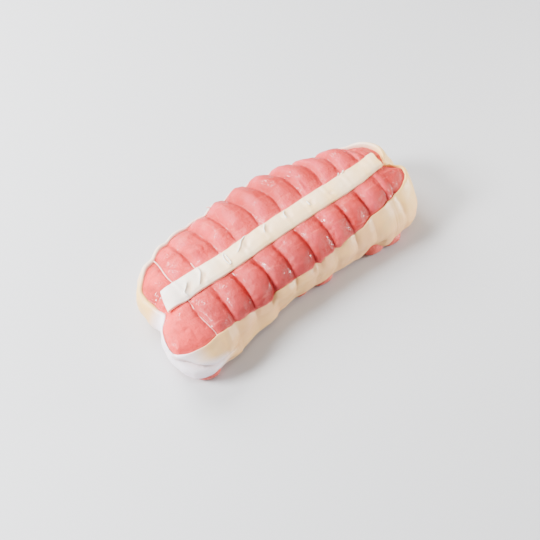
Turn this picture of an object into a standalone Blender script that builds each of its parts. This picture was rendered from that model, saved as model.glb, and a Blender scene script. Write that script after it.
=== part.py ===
# Veal rump roast, tied with kitchen twine and dressed with fat:
# one block of meat, a belt of fat round its four sides, a strip of fat along its top
# and one length of twine that goes round it eleven times.
# Metres, +Z up. +X runs from the low end to the high end, +Y to the rounder long side.

import math
from bisect import bisect_right

import bmesh
import bpy
from mathutils import Vector
from mathutils.bvhtree import BVHTree

# Twine: where its loops cross the roast, and its own size
LOOP_PITCH = 0.0203
FIRST_LOOP = 0.0150             # from the low end of the top strip
LAST_LOOP = 0.2060              # half a pitch beyond the one before it
LOOP_X = [FIRST_LOOP + k * LOOP_PITCH for k in range(10)] + [LAST_LOOP]
LOOP_SLANT = 0.08               # each loop leans this much along X for 1 m of Y
TWINE_RADIUS = 0.0006
TWINE_GAP = 0.0005
TWINE_SIDES = 1                 # bevel resolution: six sides
KNOT_RADIUS = 0.0015
KNOT_FLATNESS = 0.62

# Top strip of fat
STRIP_LENGTH = 0.2090
STRIP_WIDTH_LOW = 0.0200
STRIP_WIDTH_HIGH = 0.0185
STRIP_THICKNESS = 0.0030
STRIP_EDGE = 0.0020             # thickness at its long edges
STRIP_PRESSED = 0.0008          # how far each loop presses into it
STRIP_CUT_SLANT = 0.33          # the low end is cut askew, along the roast's own end
STRIP_ACROSS = (-1.0, -0.55, 0.0, 0.55, 1.0)    # points across it, in half widths
STRIP_TAPER = 0.97              # its upper face is this much narrower
SEAT_REACH = 0.0012             # the strip clears the highest meat this near to it

# Belt of fat round the sides
BELT_THICKNESS = 0.0045
BELT_RIM = 0.0034               # thickness at its upper edge
BELT_FOOT = 0.0026              # thickness at its lower edge
BELT_PINCH = 0.0012             # how far each loop pulls it in
EDGE_PINCH = 0.6                # share of that at its two edges
FIT_GAP = 0.0005                # air between touching pieces

# The roast's outline seen from above, outside the belt, round from the low end's outer tip
OUTLINE = [(-0.017, -0.052), (0.003, -0.059), (0.030, -0.0505), (0.060, -0.0450), (0.104, -0.0415),
           (0.156, -0.0420), (0.200, -0.0430), (0.221, -0.0355), (0.2325, -0.0200), (0.2375, -0.0020),
           (0.237, 0.016), (0.230, 0.034), (0.208, 0.048), (0.156, 0.0625), (0.104, 0.0670),
           (0.052, 0.0625), (0.015, 0.0540), (0.001, 0.0430), (-0.009, 0.028), (-0.013, 0.010),
           (-0.015, -0.008), (-0.019, -0.025), (-0.022, -0.040)]

# Heights along the top strip, at five even stations from its low end to its high end
TOP_HEIGHT = [0.0390, 0.0420, 0.0468, 0.0505, 0.0545]
RIM_RIGHT = [0.0360, 0.0318, 0.0330, 0.0370, 0.0415]
RIM_LEFT = [0.0285, 0.0285, 0.0285, 0.0310, 0.0370]
WIDEST_RIGHT = [0.0200, 0.0250, 0.0270, 0.0250, 0.0200]
WIDEST_LEFT = [0.0200, 0.0210, 0.0220, 0.0230, 0.0240]
SHOULDER_RIGHT = [3.0, 2.5, 2.2, 2.1, 1.9]      # 2 is an ellipse, more is squarer
SHOULDER_LEFT = [2.5, 2.4, 2.4, 2.3, 2.2]

# The same at the middle of each end
LOW_END = {"rim": 0.0315, "widest": 0.0200, "shoulder": 3.0, "draw": 0.0070}
HIGH_END = {"rim": 0.0445, "widest": 0.0220, "shoulder": 2.3, "draw": 0.0030}

# The meat's foot draws in under it
FOOT_HEIGHT = 0.0100
FOOT_DRAW = 0.0030
FOOT_RADIUS = 0.0070
FOOT_BEND = math.radians(30)    # how far round the foot the belt's lower edge lies
FOOT_SPREAD = 1.25              # the underside starts this many radii in
WALL_MIDDLE = (0.50, 0.55)      # where a row lies between the widest part and the foot
UNDER_GROOVE = 0.0024           # the loops run in grooves this deep under the roast
UNDER_EDGE = 0.0006             # least rise from the groove to the next row

# Cushions of meat between the loops
SEAT_HALF = 0.0112              # the strip's seat stays level
SEAT_EDGE = 0.0040              # the cushions reach their height this far beside it
SEAT_LIMIT = 0.8                # the seat takes at most this share of a short half section
CUSHION_RIGHT = 0.0036
CUSHION_LEFT = 0.0046
CUSHION_SHARE = [0.0, 0.0, 0.75, 1.0, 1.0, 0.85, 0.50, 0.22, 0.10, 0.06, 0.0, 0.0]
CUSHION_POWER = 0.62
CUSHION_STEPS = (0.0, 0.2, 0.5, 0.8)
FAN_SWELL = 1.6                 # the cushions at the ends reach full height this soon
LOW_FAN = 21
HIGH_FAN = 19

# A dent in the middle of each end parts it in two
DENT_LOW = {"angle": math.radians(192), "width": math.radians(13), "depth": 0.0036}
DENT_HIGH = {"angle": math.radians(-8), "width": math.radians(15), "depth": 0.0058}
DENT_TOP = 0.5                  # share of the depth by which the cushions sink above it

# Rows down each section: the ridge, the seat's edge, the shoulder, the rim, the wall and the foot
SHOULDER_ROWS = 4
RIM_ROW = 2 + SHOULDER_ROWS
FOOT_ROW = RIM_ROW + 4
RIM_LIMITS = (0.05, 0.95)       # the rim stays between the widest part and the top

WELD = 0.00001
SHARP_ANGLE = math.radians(50)
ABOVE = 0.2                     # height from which the strip's seat is looked for

COLOURS = {
    "meat": ((0.72, 0.26, 0.22), 0.38),
    "fat_belt": ((0.80, 0.70, 0.56), 0.42),
    "fat_strip": ((0.86, 0.80, 0.72), 0.40),
    "twine": ((0.88, 0.84, 0.78), 0.85),
}


def blend(a, b, t):
    return a + (b - a) * t


def clamp(value, low, high):
    return min(max(value, low), high)


def along(values, share):
    """Smooth curve through evenly spaced values, read at a share of its length."""
    place = clamp(share, 0.0, 1.0) * (len(values) - 1)
    i = min(int(place), len(values) - 2)
    t = place - i
    before = values[i - 1] if i > 0 else 2 * values[i] - values[i + 1]
    after = values[i + 2] if i + 2 < len(values) else 2 * values[i + 1] - values[i]
    here, there = values[i], values[i + 1]
    return 0.5 * (2 * here + (there - before) * t
                  + (2 * before - 5 * here + 4 * there - after) * t ** 2
                  + (3 * here - before - 3 * there + after) * t ** 3)


def closed_curve(points, steps=12):
    """Smooth closed curve through the points, as many short straight steps."""
    n = len(points)
    curve = []
    for i in range(n):
        quad = [points[(i + k) % n] for k in (-1, 0, 1, 2)]
        for step in range(steps):
            share = (1 + step / steps) / 3
            curve.append(tuple(along([p[axis] for p in quad], share) for axis in (0, 1)))
    return curve


def reach_to(curve, start, direction):
    """How far the curve lies from a point inside it, along a direction."""
    best = 0.0
    for (ax, ay), (bx, by) in zip(curve, curve[1:] + curve[:1]):
        ex, ey = bx - ax, by - ay
        cross = direction[0] * ey - direction[1] * ex
        if cross == 0.0:
            continue
        far = ((ax - start[0]) * ey - (ay - start[1]) * ex) / cross
        share = ((ax - start[0]) * direction[1] - (ay - start[1]) * direction[0]) / cross
        if far > 0 and 0 <= share <= 1:
            best = max(best, far)
    return best


class Station:
    """One half section of the roast, from the ridge under the strip out to one side."""

    def __init__(self, x, direction, cushion, sunk, side, values, under):
        self.x = x                  # where it leaves the ridge
        self.direction = direction
        self.cushion = cushion      # 0 in a groove, 1 on the top of a cushion
        self.sunk = sunk            # how far a dent pushes it in
        self.side = side            # 0 on the right (-Y), 1 on the left (+Y)
        self.top, self.rim, self.widest, self.shoulder, self.draw = values
        self.under = under          # height of the underside at the middle
        self.reach = 0.0

    def point(self, r, z):
        return Vector((self.x + self.direction[0] * r, self.direction[1] * r, z))


def side_places():
    """(x, step) of the stations along a side: four to each cushion, and the last loop."""
    places = []
    for a, b in zip(LOOP_X, LOOP_X[1:]):
        places += [(blend(a, b, step), step) for step in CUSHION_STEPS]
    return places + [(LOOP_X[-1], 0.0)]


def side_values(x, side):
    """Height of the ridge, of the rim and of the widest part, the shoulder and the foot's draw."""
    share = x / STRIP_LENGTH
    if side == 0:
        shape = (RIM_RIGHT, WIDEST_RIGHT, SHOULDER_RIGHT)
    else:
        shape = (RIM_LEFT, WIDEST_LEFT, SHOULDER_LEFT)
    return [along(TOP_HEIGHT, share)] + [along(values, share) for values in shape] + [FOOT_DRAW]


def side_station(x, step, side):
    sign = -1.0 if side == 0 else 1.0
    cushion = math.sin(math.pi * step) ** CUSHION_POWER if step else 0.0
    if x > LOOP_X[-2]:
        cushion *= (LOOP_X[-1] - LOOP_X[-2]) / LOOP_PITCH
    under = 0.0 if step else UNDER_GROOVE
    return Station(x, (LOOP_SLANT * sign, sign), cushion, 0.0, side, side_values(x, side), under)


def fan(x, start, count, end, first_side, dent):
    """Half sections that turn about one point of the ridge through half a turn, round an end."""
    first = side_values(x, first_side)
    second = side_values(x, 1 - first_side)
    central = [first[0], end["rim"], end["widest"], end["shoulder"], end["draw"]]
    stations = []
    for k in range(1, count + 1):
        t = k / (count + 1)
        angle = start + math.pi * t
        weight = math.sin(math.pi * t)
        values = [blend(blend(a, b, t), c, weight) for a, b, c in zip(first, second, central)]
        cushion = min(1.0, FAN_SWELL * weight) ** CUSHION_POWER
        away = (angle - dent["angle"] + math.pi) % (2 * math.pi) - math.pi
        sunk = dent["depth"] * math.exp(-(away / dent["width"]) ** 2)
        side = blend(first_side, 1 - first_side, t)
        direction = (math.cos(angle), math.sin(angle))
        stations.append(Station(x, direction, cushion, sunk, side, values, UNDER_GROOVE))
    return stations


def make_stations():
    """All half sections in order round the roast: right side, high end, left side, low end."""
    lean = math.atan(LOOP_SLANT)
    places = side_places()
    stations = [side_station(x, step, 0) for x, step in places]
    stations += fan(LOOP_X[-1], -math.pi / 2 - lean, HIGH_FAN, HIGH_END, 0, DENT_HIGH)
    stations += [side_station(x, step, 1) for x, step in reversed(places)]
    stations += fan(LOOP_X[0], math.pi / 2 - lean, LOW_FAN, LOW_END, 1, DENT_LOW)
    outline = closed_curve(OUTLINE)
    for s in stations:
        s.reach = reach_to(outline, (s.x, 0.0), s.direction) - BELT_THICKNESS - FIT_GAP - s.sunk
    return stations


def row_normals(rows):
    """Outward unit normals of an open run of (r, z) points that goes out and down."""
    normals = []
    for i in range(len(rows)):
        a, b = rows[max(i - 1, 0)], rows[min(i + 1, len(rows) - 1)]
        tr, tz = b[0] - a[0], b[1] - a[1]
        size = math.hypot(tr, tz)
        normals.append((-tz / size, tr / size))
    return normals


def section_rows(s):
    """(r, z) of the meat's rows at one station, ridge to foot, with the cushion's bulge."""
    power = 2 / s.shoulder
    rise = s.top - s.widest

    def shoulder(angle):
        return (s.reach * math.sin(angle) ** power, s.widest + rise * max(math.cos(angle), 0.0) ** power)

    seat_angle = math.asin(min(SEAT_HALF / s.reach, SEAT_LIMIT) ** (1 / power))
    rim_angle = math.acos(clamp((s.rim - s.widest) / rise, *RIM_LIMITS) ** (1 / power))
    rows = [(0.0, s.top)]
    for k in range(SHOULDER_ROWS + 2):
        rows.append(shoulder(blend(seat_angle, rim_angle, k / (SHOULDER_ROWS + 1))))
    foot = s.reach - s.draw
    rows.append((s.reach, s.widest))
    rows.append((blend(s.reach, foot, WALL_MIDDLE[0]), blend(s.widest, FOOT_HEIGHT, WALL_MIDDLE[1])))
    rows.append((foot, FOOT_HEIGHT))
    rows.append((foot - FOOT_RADIUS * (1 - math.cos(FOOT_BEND)), FOOT_HEIGHT * (1 - math.sin(FOOT_BEND))))
    rows.append((foot - FOOT_RADIUS * FOOT_SPREAD, 0.0))
    height = blend(CUSHION_RIGHT, CUSHION_LEFT, s.side)
    out = []
    for (r, z), (nr, nz), share in zip(rows, row_normals(rows), CUSHION_SHARE):
        beside_seat = clamp((abs(s.direction[1]) * r - SEAT_HALF) / SEAT_EDGE, 0.0, 1.0)
        bulge = share * (height * s.cushion * beside_seat - DENT_TOP * s.sunk)
        out.append((r + nr * bulge, z + nz * bulge))
    if s.cushion == 0.0:
        out[-1] = (out[-1][0], UNDER_GROOVE)
        out[-2] = (out[-2][0], max(out[-2][1], UNDER_GROOVE + UNDER_EDGE))
    return out


def mesh_object(name, vertices, faces, collection):
    """A closed mesh object with its faces pointing out, smooth but for its sharp edges."""
    mesh = bpy.data.meshes.new(name)
    mesh.from_pydata(vertices, [], faces)
    bm = bmesh.new()
    bm.from_mesh(mesh)
    bmesh.ops.remove_doubles(bm, verts=bm.verts, dist=WELD)
    bmesh.ops.triangulate(bm, faces=bm.faces)
    bmesh.ops.recalc_face_normals(bm, faces=bm.faces)
    bm.to_mesh(mesh)
    bm.free()
    mesh.shade_smooth()
    mesh.set_sharp_from_angle(angle=SHARP_ANGLE)
    thing = bpy.data.objects.new(name, mesh)
    collection.objects.link(thing)
    return thing


def make_meat(stations, collection):
    """The block of meat: half sections joined round the ridge, and its underside."""
    count = len(stations)
    rows = len(CUSHION_SHARE)
    vertices, faces = [], []
    for s in stations:
        vertices += [s.point(r, z) for r, z in section_rows(s)]
    vertices += [s.point(0.0, s.under) for s in stations]
    for k in range(count):
        following = (k + 1) % count
        a, b = k * rows, following * rows
        for row in range(rows - 1):
            faces.append((a + row, a + row + 1, b + row + 1, b + row))
        faces.append((a + rows - 1, count * rows + k, count * rows + following, b + rows - 1))
    return mesh_object("meat", vertices, faces, collection)


def belt_section(s):
    """Closed loop of (r, z) points round the belt's own thickness at one station."""
    rows = section_rows(s)
    normals = row_normals(rows)
    picked = range(RIM_ROW, FOOT_ROW + 1)
    pinch = BELT_PINCH * (1.0 - s.cushion)
    inner, outer = [], []
    for i in picked:
        (r, z), (nr, nz) = rows[i], normals[i]
        thick = {RIM_ROW: BELT_RIM, FOOT_ROW: BELT_FOOT}.get(i, BELT_THICKNESS)
        size = FIT_GAP + thick - pinch * (EDGE_PINCH if i in (RIM_ROW, FOOT_ROW) else 1.0)
        inner.append((r + nr * FIT_GAP, z + nz * FIT_GAP))
        outer.append((r + nr * size, z + nz * size))
    return inner + outer[::-1]


def lofted(sections):
    """Quads between sections of equal size, each one a closed loop of points."""
    size = len(sections[0])
    faces = []
    for k in range(len(sections) - 1):
        a, b = k * size, (k + 1) * size
        for i in range(size):
            j = (i + 1) % size
            faces.append((a + i, a + j, b + j, b + i))
    return faces


def make_belt(stations, collection):
    """The belt of fat: its section carried round all the stations."""
    sections = [[s.point(r, z) for r, z in belt_section(s)] for s in stations]
    sections.append(sections[0])
    vertices = [p for section in sections for p in section]
    return mesh_object("fat_belt", vertices, lofted(sections), collection)


def strip_sections(meat):
    """Crosswise sections of the top strip: (underside points, upper points) from -Y to +Y."""
    bm = bmesh.new()
    bm.from_mesh(meat.data)
    ground = BVHTree.FromBMesh(bm)
    bm.free()
    around = [(0, 0), (SEAT_REACH, 0), (-SEAT_REACH, 0), (0, SEAT_REACH), (0, -SEAT_REACH)]
    places = [(FIRST_LOOP * share, None) for share in (0.0, 0.35, 0.7)]
    places += side_places() + [(STRIP_LENGTH, None)]
    sections = []
    for x, step in places:
        half = blend(STRIP_WIDTH_LOW, STRIP_WIDTH_HIGH, x / STRIP_LENGTH) / 2
        slant = blend(STRIP_CUT_SLANT, LOOP_SLANT, min(x / FIRST_LOOP, 1.0))
        pressed = STRIP_PRESSED if step == 0.0 else 0.0
        under, upper = [], []
        for across in STRIP_ACROSS:
            y = across * half
            px = x + slant * y
            starts = [Vector((px + dx, y + dy, ABOVE)) for dx, dy in around]
            base = FIT_GAP + max(ground.ray_cast(start, Vector((0, 0, -1)))[0].z for start in starts)
            thick = blend(STRIP_THICKNESS, STRIP_EDGE, across ** 2) - pressed
            under.append(Vector((px, y, base)))
            upper.append(Vector((px, y * STRIP_TAPER, base + thick)))
        sections.append((under, upper))
    return sections


def make_strip(sections, collection):
    """The top strip of fat, square cut at both ends."""
    closed = [under + upper[::-1] for under, upper in sections]
    vertices = [p for section in closed for p in section]
    faces = lofted(closed)
    size = len(closed[0])
    for base in (0, len(vertices) - size):
        for i in range(size // 2 - 1):
            faces.append((base + i, base + i + 1, base + size - 2 - i, base + size - 1 - i))
    return mesh_object("fat_strip", vertices, faces, collection)


def hull(points):
    """Convex hull of (y, z) points, anticlockwise."""
    points = sorted(set(points))

    def half(run):
        out = []
        for p in run:
            while len(out) > 1 and ((out[-1][0] - out[-2][0]) * (p[1] - out[-2][1])
                                    <= (out[-1][1] - out[-2][1]) * (p[0] - out[-2][0])):
                out.pop()
            out.append(p)
        return out[:-1]

    return half(points) + half(points[::-1])


def grow(loop, size):
    """Moves a closed convex run of points outwards by a size, corners kept sharp."""
    out = []
    for i, p in enumerate(loop):
        before, after = loop[i - 1], loop[(i + 1) % len(loop)]
        edges = []
        for a, b in ((before, p), (p, after)):
            length = math.hypot(b[0] - a[0], b[1] - a[1])
            edges.append(((b[1] - a[1]) / length, -(b[0] - a[0]) / length))
        ny, nz = edges[0][0] + edges[1][0], edges[0][1] + edges[1][1]
        scale = 2 * size / (ny * ny + nz * nz)
        out.append((p[0] + ny * scale, p[1] + nz * scale))
    return out


def twine_loops(stations, strip):
    """Centre lines of the loops: a taut line round all that it holds, at each groove."""
    loops = []
    for x in LOOP_X:
        held = [(0.0, UNDER_GROOVE)]
        for s in stations:
            if s.cushion == 0.0 and s.x == x:
                held += [(s.direction[1] * r, z) for r, z in section_rows(s) + belt_section(s)]
        for _, upper in strip:
            if abs(upper[len(upper) // 2].x - x) < WELD:
                held += [(p.y, p.z) for p in upper]
        path = grow(hull([(round(y, 6), round(z, 6)) for y, z in held]), TWINE_GAP + TWINE_RADIUS)
        loops.append([Vector((x + LOOP_SLANT * y, y, z)) for y, z in path])
    return loops


def tube(name, points, cyclic, collection):
    """Twine along points: a bevelled curve turned into a mesh with welded caps."""
    curve = bpy.data.curves.new(name, "CURVE")
    curve.dimensions = "3D"
    curve.bevel_depth = TWINE_RADIUS
    curve.bevel_resolution = TWINE_SIDES
    curve.use_fill_caps = not cyclic
    spline = curve.splines.new("POLY")
    spline.points.add(len(points) - 1)
    for target, p in zip(spline.points, points):
        target.co = (p.x, p.y, p.z, 1.0)
    spline.use_cyclic_u = cyclic
    line = bpy.data.objects.new(name + "_line", curve)
    collection.objects.link(line)
    bpy.context.view_layer.update()
    mesh = bpy.data.meshes.new_from_object(line.evaluated_get(bpy.context.evaluated_depsgraph_get()))
    bpy.data.objects.remove(line)
    bm = bmesh.new()
    bm.from_mesh(mesh)
    bmesh.ops.remove_doubles(bm, verts=bm.verts, dist=WELD)
    bmesh.ops.recalc_face_normals(bm, faces=bm.faces)
    bm.to_mesh(mesh)
    bm.free()
    piece = bpy.data.objects.new(name, mesh)
    collection.objects.link(piece)
    return piece


def knot(centre, collection):
    """A small flattened knot that sits on the crossing of a loop and the run."""
    mesh = bpy.data.meshes.new("twine_knot")
    bm = bmesh.new()
    bmesh.ops.create_icosphere(bm, subdivisions=1, radius=KNOT_RADIUS)
    lift = KNOT_RADIUS * KNOT_FLATNESS - TWINE_RADIUS
    for v in bm.verts:
        v.co = centre + Vector((v.co.x, v.co.y, v.co.z * KNOT_FLATNESS + lift))
    bm.to_mesh(mesh)
    bm.free()
    collection.objects.link(bpy.data.objects.new("twine_knot", mesh))


def top_of(loop):
    """Height of a loop's centre line over the ridge, where it crosses y = 0."""
    best = 0.0
    for a, b in zip(loop, loop[1:] + loop[:1]):
        if (a.y <= 0.0) != (b.y <= 0.0):
            best = max(best, blend(a.z, b.z, a.y / (a.y - b.y)))
    return best


def twine_run(crossings, strip):
    """The stretch of twine along the strip, from the first loop to the last."""
    ridge = [upper[len(upper) // 2] for _, upper in strip]
    ridge_x = [p.x for p in ridge]
    run = []
    for a, b in zip(crossings, crossings[1:]):
        run.append(a)
        for step in CUSHION_STEPS[1:]:
            x = blend(a.x, b.x, step)
            i = clamp(bisect_right(ridge_x, x) - 1, 0, len(ridge) - 2)
            height = blend(ridge[i].z, ridge[i + 1].z, (x - ridge_x[i]) / (ridge_x[i + 1] - ridge_x[i]))
            run.append(Vector((x, 0.0, height + TWINE_GAP + TWINE_RADIUS)))
    return run + [crossings[-1]]


def make_twine(loops, strip, collection):
    """One length of twine: the loops, the run along the strip that joins them, and its knots."""
    parts = bpy.data.collections.new("twine_parts")
    bpy.context.scene.collection.children.link(parts)
    crossings = [Vector((x, 0.0, top_of(loop))) for x, loop in zip(LOOP_X, loops)]
    body = tube("twine", loops[0], True, collection)
    for loop in loops[1:]:
        tube("twine_loop", loop, True, parts)
    tube("twine_run", twine_run(crossings, strip), False, parts)
    for crossing in crossings:
        knot(crossing, parts)
    union = body.modifiers.new("join", "BOOLEAN")
    union.operation = "UNION"
    union.operand_type = "COLLECTION"
    union.collection = parts
    union.solver = "EXACT"
    bpy.context.view_layer.update()
    joined = bpy.data.meshes.new_from_object(body.evaluated_get(bpy.context.evaluated_depsgraph_get()))
    body.modifiers.clear()
    body.data = joined
    for piece in list(parts.objects):
        bpy.data.objects.remove(piece)
    bpy.data.collections.remove(parts)
    joined.shade_smooth()
    return body


def give_material(thing):
    colour, roughness = COLOURS[thing.name]
    material = bpy.data.materials.new(thing.name)
    material.use_nodes = True
    shader = material.node_tree.nodes["Principled BSDF"]
    shader.inputs["Base Color"].default_value = (*colour, 1.0)
    shader.inputs["Roughness"].default_value = roughness
    shader.inputs["Metallic"].default_value = 0.0
    thing.data.materials.clear()
    thing.data.materials.append(material)


def centre_on_origin(things):
    """Moves the whole roast so that its box stands centred on the origin."""
    corners = [v.co for thing in things for v in thing.data.vertices]
    middle = [(min(c[axis] for c in corners) + max(c[axis] for c in corners)) / 2 for axis in (0, 1)]
    lowest = min(c.z for c in corners)
    shift = Vector((-middle[0], -middle[1], -lowest))
    for thing in things:
        for v in thing.data.vertices:
            v.co += shift


def main():
    for thing in list(bpy.data.objects):
        bpy.data.objects.remove(thing)
    collection = bpy.data.collections.new("veal_rump_roast")
    bpy.context.scene.collection.children.link(collection)
    stations = make_stations()
    meat = make_meat(stations, collection)
    belt = make_belt(stations, collection)
    sections = strip_sections(meat)
    strip = make_strip(sections, collection)
    twine = make_twine(twine_loops(stations, sections), sections, collection)
    roast = [meat, belt, strip, twine]
    centre_on_origin(roast)
    for thing in roast:
        give_material(thing)


main()
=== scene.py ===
# Looks of a raw veal rump roast, tied with twine and dressed with fat.
# Metres. +X runs along the roast to its taller end, +Y to its rounder long side.
import math

import bmesh
import bpy
import numpy as np
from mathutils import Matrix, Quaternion, Vector, noise
from mathutils.bvhtree import BVHTree


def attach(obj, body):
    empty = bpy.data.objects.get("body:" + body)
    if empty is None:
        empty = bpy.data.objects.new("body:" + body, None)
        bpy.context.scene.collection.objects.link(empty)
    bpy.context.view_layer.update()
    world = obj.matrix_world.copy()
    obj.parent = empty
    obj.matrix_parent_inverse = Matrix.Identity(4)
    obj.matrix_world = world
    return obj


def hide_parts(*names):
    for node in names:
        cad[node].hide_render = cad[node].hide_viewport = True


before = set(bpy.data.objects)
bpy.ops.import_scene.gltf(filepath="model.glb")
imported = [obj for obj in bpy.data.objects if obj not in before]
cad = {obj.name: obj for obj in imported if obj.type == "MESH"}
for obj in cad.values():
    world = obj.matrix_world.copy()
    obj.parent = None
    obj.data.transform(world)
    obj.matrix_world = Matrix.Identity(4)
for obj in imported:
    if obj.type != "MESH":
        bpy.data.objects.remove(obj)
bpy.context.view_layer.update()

mm = .001

# How the twine goes round: every piece takes its grooves and creases from this
tying = {
    "loops": [-.0925 + .0203 * k for k in range(10)] + [.0985],
    "slant": .08,  # each loop leans this much along X for 1 m of Y
    "ridge": -.0047,  # y of the line under the top strip
    # mm, left and right: how far each groove strays, and how far it bows half way down
    "driftLeft": [0, 0, 2.2, -1, .5, 1.5, 2.8, 4.2, 2.4, 1, 0],
    "driftRight": [.6, 1, .1, -.8, -1.2, .3, .3, .8, .3, 1, 1.6],
    "bowLeft": [-.8, .8, 1, 1.2, 2.6, 3.4, 2.6, 3.2, 2.6, 1.2, 0],
    "bowRight": [-1.6, .6, 1.2, 2.8, 2.8, 2.4, 2, 1.6, 1.2, .2, 0],
    "bowReach": (.009, .046),  # between these distances from the ridge
    "strayRise": (.01, .026),  # and only above the foot
    "toe": (2.8, 2.9),  # and how far the first one runs out where it meets the belt
    # mm the far side stands fuller than the solid, at each loop and half way between
    "farLift": [-1.2, -.4, 0, 0, .2, -.6, -.6, .9, .4, 1.8, 1.2, 2.1, 1.6, 1.9, 2, .4, .7, .4,
                1, .7, .6],
    "liftRise": (.006, .026),
}
loopX = np.array(tying["loops"])

# The whole roast is a little uneven
unevenness = {
    "sway": .0011, "swayLength": .048,
    "swell": .0006, "swellLength": .03,
    "floorHold": .012,  # below this height the swell dies out, so it stands level
    # the near low corner is fuller than the solid, by mm at the wall and more mm at the top
    "corner": {"place": (-.123, -.043), "radius": .013, "towards": (-.9, -.45), "wall": 1.2,
               "wallRise": (.006, .016), "top": 2, "topRise": (.026, .034)},
}


# Small helpers

def newObject(name, data):
    made = bpy.data.objects.new(name, data)
    bpy.context.scene.collection.objects.link(made)
    return made


def pickOnly(piece):
    bpy.ops.object.select_all(action="DESELECT")
    piece.select_set(True)
    bpy.context.view_layer.objects.active = piece


def openMesh(piece, action="SELECT"):
    pickOnly(piece)
    bpy.ops.object.mode_set(mode="EDIT")
    bpy.ops.mesh.select_all(action=action)


def closeMesh():
    bpy.ops.object.mode_set(mode="OBJECT")


def readPoints(piece):
    values = np.empty(len(piece.data.vertices) * 3)
    piece.data.vertices.foreach_get("co", values)
    return values.reshape(-1, 3)


def readFacing(piece):
    # the points, and the way each one faces
    values = np.empty(len(piece.data.vertices) * 3)
    piece.data.vertex_normals.foreach_get("vector", values)
    return readPoints(piece), values.reshape(-1, 3)


def writePoints(piece, co):
    piece.data.vertices.foreach_set("co", co.ravel())
    piece.data.update()


def paint(piece, name, values):
    layer = piece.data.attributes.get(name) or piece.data.attributes.new(name, "FLOAT", "POINT")
    layer.data.foreach_set("value", np.asarray(values, np.float32))


def ease(values, low, high):
    t = np.clip((values - low) / (high - low), 0, 1)
    return t * t * (3 - 2 * t)


def hump(values, width):
    # 1 at 0, falling softly to either side
    return np.exp(-(values / width) ** 2)


def around(co, place, radius):
    return hump(np.linalg.norm(co - np.array(place), axis=1), radius)


def metres(rows):
    return np.array(rows) * mm


def softNoise(co, size, seed=0):
    return np.array([noise.noise(Vector(p)) for p in co / size + np.array([seed, -seed, 2 * seed])])


def spread(piece, values, rounds):
    # evens a value out over neighbouring points
    pairs = np.empty(len(piece.data.edges) * 2, int)
    piece.data.edges.foreach_get("vertices", pairs)
    a, b = pairs[::2], pairs[1::2]
    count = np.bincount(a, minlength=len(values)) + np.bincount(b, minlength=len(values))
    for _ in range(rounds):
        total = np.bincount(a, values[b], len(values)) + np.bincount(b, values[a], len(values))
        values = .5 * values + .5 * total / np.maximum(count, 1)
    return values


def treeOf(piece):
    mesh = piece.data
    return BVHTree.FromPolygons([v.co for v in mesh.vertices], [p.vertices for p in mesh.polygons])


def covered(piece, tree, reach):
    # 1 where another piece lies just outside this one
    flags = []
    for p, n in zip(*readFacing(piece)):
        out = Vector(n)
        flags.append(0 if tree.ray_cast(Vector(p) - out * reach * .3, out, reach)[0] is None else 1)
    return np.array(flags)


def alongRoast(co):
    return co[:, 0] - tying["slant"] * (co[:, 1] - tying["ridge"])


def fromLoop(co):
    # distance to the nearest loop, the loop before, and the share of the way to the next
    u = alongRoast(co)
    k = np.clip(np.searchsorted(loopX, u) - 1, 0, len(loopX) - 2)
    share = (u - loopX[k]) / (loopX[k + 1] - loopX[k])
    return np.abs(u[:, None] - loopX[None, :]).min(1), k, share


def lengthsOf(line):
    # how far along a line each of its points lies
    return np.concatenate([[0], np.cumsum(np.linalg.norm(np.diff(line, axis=0), axis=1))])


def fromLine(co, line):
    # distance to a line, and how far along it the nearest place lies, 0 to 1
    best = np.full(len(co), 1e9)
    where = np.zeros(len(co))
    before = lengthsOf(line)
    for i, (a, b) in enumerate(zip(line, line[1:])):
        length = before[i + 1] - before[i]
        t = np.clip((co - a) @ (b - a) / length ** 2, 0, 1)
        d = np.linalg.norm(co - (a + t[:, None] * (b - a)), axis=1)
        closer = d < best
        best[closer] = d[closer]
        where[closer] = (before[i] + t[closer] * length) / before[-1]
    return best, where


def creaseAlong(co, line, width):
    # 1 on a line, 0 beside it and at its ends
    distance, where = fromLine(co, line)
    return hump(distance, width) * np.sqrt(np.clip(np.sin(math.pi * where), 0, 1) + .02)


def pressFolds(co, folds):
    # small folds pressed in: how far, and where they are, 0 to 1
    bulge, folded = np.zeros((2, len(co)))
    for depth, width, points in folds:
        line = creaseAlong(co, metres(points), width * mm)
        bulge -= depth * mm * line
        folded = np.maximum(folded, np.minimum(line, 1))
    return bulge, folded


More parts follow.
